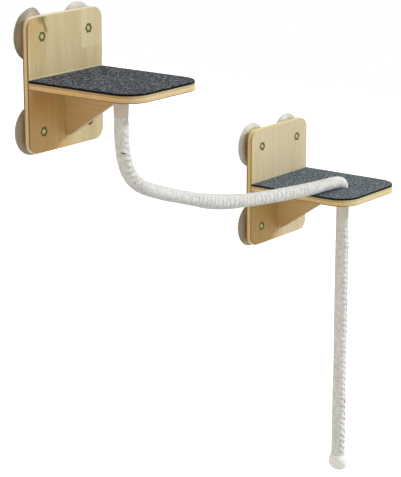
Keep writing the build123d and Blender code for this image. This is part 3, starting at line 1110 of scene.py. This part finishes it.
def felt(side):
    """Dark slate heather felt with pale and dark fibres."""
    look = Look(f"grey_felt_{side}", Roughness=0.95, Specular_IOR_Level=0.15, Sheen_Weight=0.02)
    place = look.place()
    specks, fine = look.noise(place, *felt_specks), look.noise(place, *felt_fine)
    heather = look.plus(look.times(specks, felt_speck_share), look.times(fine, felt_fine_share))
    base = look.ramp(heather, *zip(felt_fibre_stops, felt_fibres[side]))
    base, _ = look.speckled(look.tint(base, felt_tones[side]), place, felt_stains)
    cut = look.times(look.between(look.facing()["Z"], *cut_facing), cut_share)
    return look.finished(look.mix(cut, base, cut_tone), look.plus(fine, specks), *felt_relief)


# Vinyl of the cups: colours of rim, wall and boss. The brown of wall and boss is partly painted warm shade
# from the wood; the sets after the plain one are its copies with painted shade, the last with painted light
# on its rim
cup_tones = {
    "cup_vinyl": ((193, 194, 192), (174, 158, 124), (146, 118, 76)),
    "cup_vinyl_painted_shade_upper_top_left": ((139, 134, 114), (182, 164, 138), (158, 124, 84)),
    "cup_vinyl_painted_shade_bottom_left": ((166, 154, 140), (172, 151, 126), (154, 122, 84)),
    "cup_vinyl_painted_light_and_shade_lower_top_left": ((200, 200, 197), (166, 148, 106), (138, 112, 66)),
}
vinyl_cloud = (55, 3, 0.5)
vinyl_cloud_size, vinyl_cloud_shift = 0.16, -0.08
boss_stop, wall_stop, rim_stop = 0.45, 0.72, 0.93
milky_stops = (0.28, (150, 143, 128)), (0.36, (176, 171, 158))
milky_rim_stop = 0.8
glass_facing = (0.5, beyond, 0.2)
vinyl_dimples = (400, 2, 0.5)
vinyl_relief = (0.05, 0.0003)
vinyl_glow = {"Subsurface_Weight": 0.5, "Subsurface_Scale": 0.004, "Subsurface_Radius": (1, 1, 1)}


def vinyl(name, rim, wall, boss):
    """Soft milky vinyl, deeper in colour towards the boss: partly where it is thicker, partly painted warm
    shade near the plate.
    """
    look = Look(name, Roughness=0.42, IOR=1.4, **vinyl_glow)
    place = look.place()
    spread = look.maths("MULTIPLY_ADD", look.noise(place, *vinyl_cloud), vinyl_cloud_size, vinyl_cloud_shift)
    radius = look.plus(look.parts(look.uv("radius"))["X"], spread)
    base = look.ramp(radius, (boss_stop, boss), (wall_stop, wall), (rim_stop, rim))
    milky = look.ramp(radius, *milky_stops, (milky_rim_stop, rim))
    base = look.mix(look.between(look.facing()["Y"], *glass_facing), base, milky)
    return look.finished(base, look.noise(place, *vinyl_dimples), *vinyl_relief)


# Tape: dark and bright tone, and the tint of its right side
tape_tones = {
    "upper": ((210, 197, 187), (224, 211, 200), WHITE),
    "lower": ((224, 218, 220), (233, 231, 231), (236, 246, 226)),
}
tape_streaks = ((260, 260, 25), 3, 0.6)
tape_weave = ((1800, 1800, 900), 2, 0.5)
tape_middle_stop, tape_right_stop = 0.75, 0.95
tape_relief = (0.25, 0.0003)


def tape(side):
    """Smooth cloth tape with a faint weave and creases."""
    look = Look(f"beige_tape_{side}", Roughness=0.7, Sheen_Weight=0.1)
    dim, bright, right_tint = tape_tones[side]
    place = look.place()
    streaks = look.noise(place, *tape_streaks)
    base = look.ramp(streaks, (0.3, dim), (0.7, bright))
    rightward = look.maths("MULTIPLY_ADD", look.facing()["Y"], -0.5, 0.5)
    base = look.stain(base, 1, rightward, (tape_middle_stop, WHITE), (tape_right_stop, right_tint))
    return look.finished(base, look.plus(look.noise(place, *tape_weave), streaks), *tape_relief)


# Plated steel: dark and bright tone, roughness and metallic share of nuts, studs and screws
plated_looks = {
    "zinc_steel": ((74, 74, 22), (112, 112, 46), 0.55, 0.4),
    "zinc_steel_stud": ((142, 144, 76), (206, 206, 148), 0.35, 0.5),
    "screw_steel": ((150, 148, 140), (190, 188, 180), 0.4, 0.85),
}
plated_cloud = (420, 3, 0.6)
plated_dimples = (2600, 2, 0.5)
plated_relief = (0.1, 0.0002)


def plated(name, dim, bright, roughness, metallic):
    """Plated steel with slightly cloudy passivation."""
    look = Look(name, Metallic=metallic, Roughness=roughness)
    place = look.place()
    base = look.ramp(look.noise(place, *plated_cloud), (0.3, dim), (0.7, bright))
    return look.finished(base, look.noise(place, *plated_dimples), *plated_relief)


def paint(piece, material):
    piece.data.materials.clear()
    piece.data.materials.append(material)


def paint_node(node, material):
    """A carried-over piece takes a new material in its own slots."""
    for slot in frame["nodes"][node].material_slots:
        slot.material = material


# The whole scene

def hanging_shape(length):
    """Radius and gathers at a length under the lower sleeve."""
    gathers = list(hanging_gathers)
    gathers[SLANT] += along(hanging_added_slants, length)
    gathers[HEIGHT] *= along(hanging_height_shares, length)
    gathers[PIT] *= along(hanging_pit_shares, length)
    return rope_radius + along(hanging_swells, length), gathers


def add_span(line):
    """The rope from the upper sleeve to the lower shelf."""

    def shape(length):
        """Radius and gathers at a length: hanging, lying, then narrow in the hole."""
        narrow = max(0, 1 - (line.length - length) / narrow_length)
        radius = rope_radius * (1 - (1 - hole_radius_share) * narrow) + along(span_swells, length)
        gathers = mixed_shape(bend_gathers, span_gathers, along(bend_to_span_shares, length))
        gathers[HEIGHT] *= along(span_height_shares, length)
        return radius, gathers

    wound = GatheredCotton(0, line.length, span_pitches, span_seed, span_fall_power, span_floor_share, True)
    return stands_for(wound.piece("rope_span_wound", line, shape), "rope_span", BODY)


def add_hanging_part(name, line, start, end, seed):
    """A part of the hanging stretch."""
    wound = GatheredCotton(start, end, hanging_pitches, seed, hanging_fall_power, hanging_floor_share)
    return stands_for(wound.piece(f"{name}_wound", line, hanging_shape), name)


def add_rope():
    """The span, the hanging stretch in two parts split between its joints, the sleeves and the ball."""
    span_line = rope_span_line()
    span = add_span(span_line)
    hang_line = rope_drop_line()
    neck_length = lower_sleeve_low.z - mid_neck_z
    neck = add_hanging_part("rope_neck", hang_line, 0, neck_length, neck_seed)
    drop = add_hanging_part("rope_drop", hang_line, neck_length, hang_line.length, drop_seed)
    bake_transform(neck)
    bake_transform(drop)
    upper_sleeve = tape_sleeve("upper_rope_sleeve", upper_tape_seed, 0, upper_sleeve_end_radius)
    lower_sleeve = tape_sleeve("lower_rope_sleeve", lower_tape_seed, lower_tape_crease, rope_radius)
    ball = wound_ball()
    paint(span, cotton("cotton_span", *span_cotton, painted_levels=span_painted_light))
    hanging_look = cotton("cotton_hanging", *hanging_cotton)
    paint(neck, hanging_look)
    paint(drop, hanging_look)
    paint(ball, cotton("cotton_ball", *ball_cotton))
    paint(upper_sleeve, tape("upper"))
    paint(lower_sleeve, tape("lower"))


def add_mats():
    """The two felt mats, glued on their shelves."""
    for side in SIDES:
        mat = felt_mat(side)
        paint(mat, felt(side))
        cut = (2 - quarter_turn) * felt_corner_radius**2
        if side == "lower":
            cut += math.pi * felt_hole_radius**2


def add_cups():
    clear, shade_upper_top_left, shade_bottom_left, light_and_shade_lower_top_left = (vinyl(name, *tones) for name, tones in cup_tones.items())
    for side in SIDES:
        # Painted shade: the cups at the plates' left take darker copies of the vinyl
        looks = {"bottom_left": shade_bottom_left, "top_left": shade_upper_top_left if side == "upper" else light_and_shade_lower_top_left}
        for corner in CORNERS:
            paint(suction_cup(side, corner), looks.get(corner, clear))


def paint_boards():
    """Each board has its own wood, its grain along its length."""
    for side in SIDES:
        plate, gusset, seeds = box(f"{side}_back_plate")[0], box(f"{side}_gusset")[0], board_seeds[side]
        shelf, shelf_high = box(f"{side}_shelf")
        thickness = shelf_high.z - shelf.z
        marks = plate_marks(side, plate, box(f"{side}_felt_mat")[1].z)
        grain = (plate_layers[side], seeds[0], plate_tones[side], plate_edges[side], marks)
        paint_node(f"{side}_back_plate", plywood(f"{side}_plate_ply", (0, 0, 0), plate.y, thickness, *grain))
        turn = (-quarter_turn, 0, 0)
        grain = (shelf_layers, seeds[1], plate_tones["upper"], shelf_edges[side])
        paint_node(f"{side}_shelf", plywood(f"{side}_shelf_ply", turn, shelf.z, thickness, *grain))
        turn = (quarter_turn, 0, quarter_turn)
        marks = gusset_marks(side, plate.y, gusset.z)
        grain = (plate_layers["upper"], seeds[2], gusset_tones, gusset_edges, marks)
        paint_node(f"{side}_gusset", plywood(f"{side}_gusset_ply", turn, gusset.x, thickness, *grain))


def paint_hardware():
    """Dark olive nuts round bright stud ends, and plain steel screws. Nuts and studs are one plating: the
    nuts' darker copy is partly painted shade of their pockets, the studs' brighter copy partly a painted
    highlight.
    """
    nut, stud, steel = (plated(name, *settings) for name, settings in plated_looks.items())
    for side in SIDES:
        paint_node(f"{side}_hex_nuts", nut)
        paint_node(f"{side}_cup_studs", stud)
        for name in ("plate_screws", "gusset_screws"):
            paint_node(f"{side}_{name}", steel)
    paint_node("rope_anchor_screw", steel)


def add_floor():
    """Plain pale floor, well below the object."""
    half = floor_half_width
    corners = [(x, y, floor_z) for x, y in ((-half, -half), (half, -half), (half, half), (-half, half))]
    floor = mesh_object("floor", corners, [(0, 1, 2, 3)], smooth=False)
    look = Look("floor", Roughness=0.9, Base_Color=floor_grey, Emission_Color=plain_white)
    look.put(look.shader.inputs["Emission Strength"], look.times(look.seen_directly(), floor_lift))
    paint(floor, look.material)


def add_light():
    """A sun from the upper right front and an even pale surrounding."""
    sun = bpy.data.lights.new("key", "SUN")
    sun.energy = sun_strength
    sun.angle = sun_angle
    sun.color = (1, 1, 1)
    add_object("key", sun).rotation_euler = sun_side.to_track_quat("Z", "Y").to_euler()
    world = bpy.data.worlds.new("surroundings")
    bpy.context.scene.world = world
    world.use_nodes = True
    sky = Nodes(world.node_tree)
    direction = sky.parts(sky.add("TexCoord").outputs["Generated"])["X"]
    rightward = sky.maths("MULTIPLY_ADD", direction, 0.5, 0.5)
    fill = sky.ramp(rightward, (0.2, fill_from_left), (0.8, fill_from_right))
    background = sky.tree.nodes["Background"].inputs["Color"]
    sky.put(background, sky.mix(sky.seen_directly(), fill, plain_white))


bpy.context.scene.view_settings.view_transform = "Standard"
add_camera()
add_rope()
add_mats()
add_cups()
paint_boards()
paint_hardware()
add_floor()
add_light()
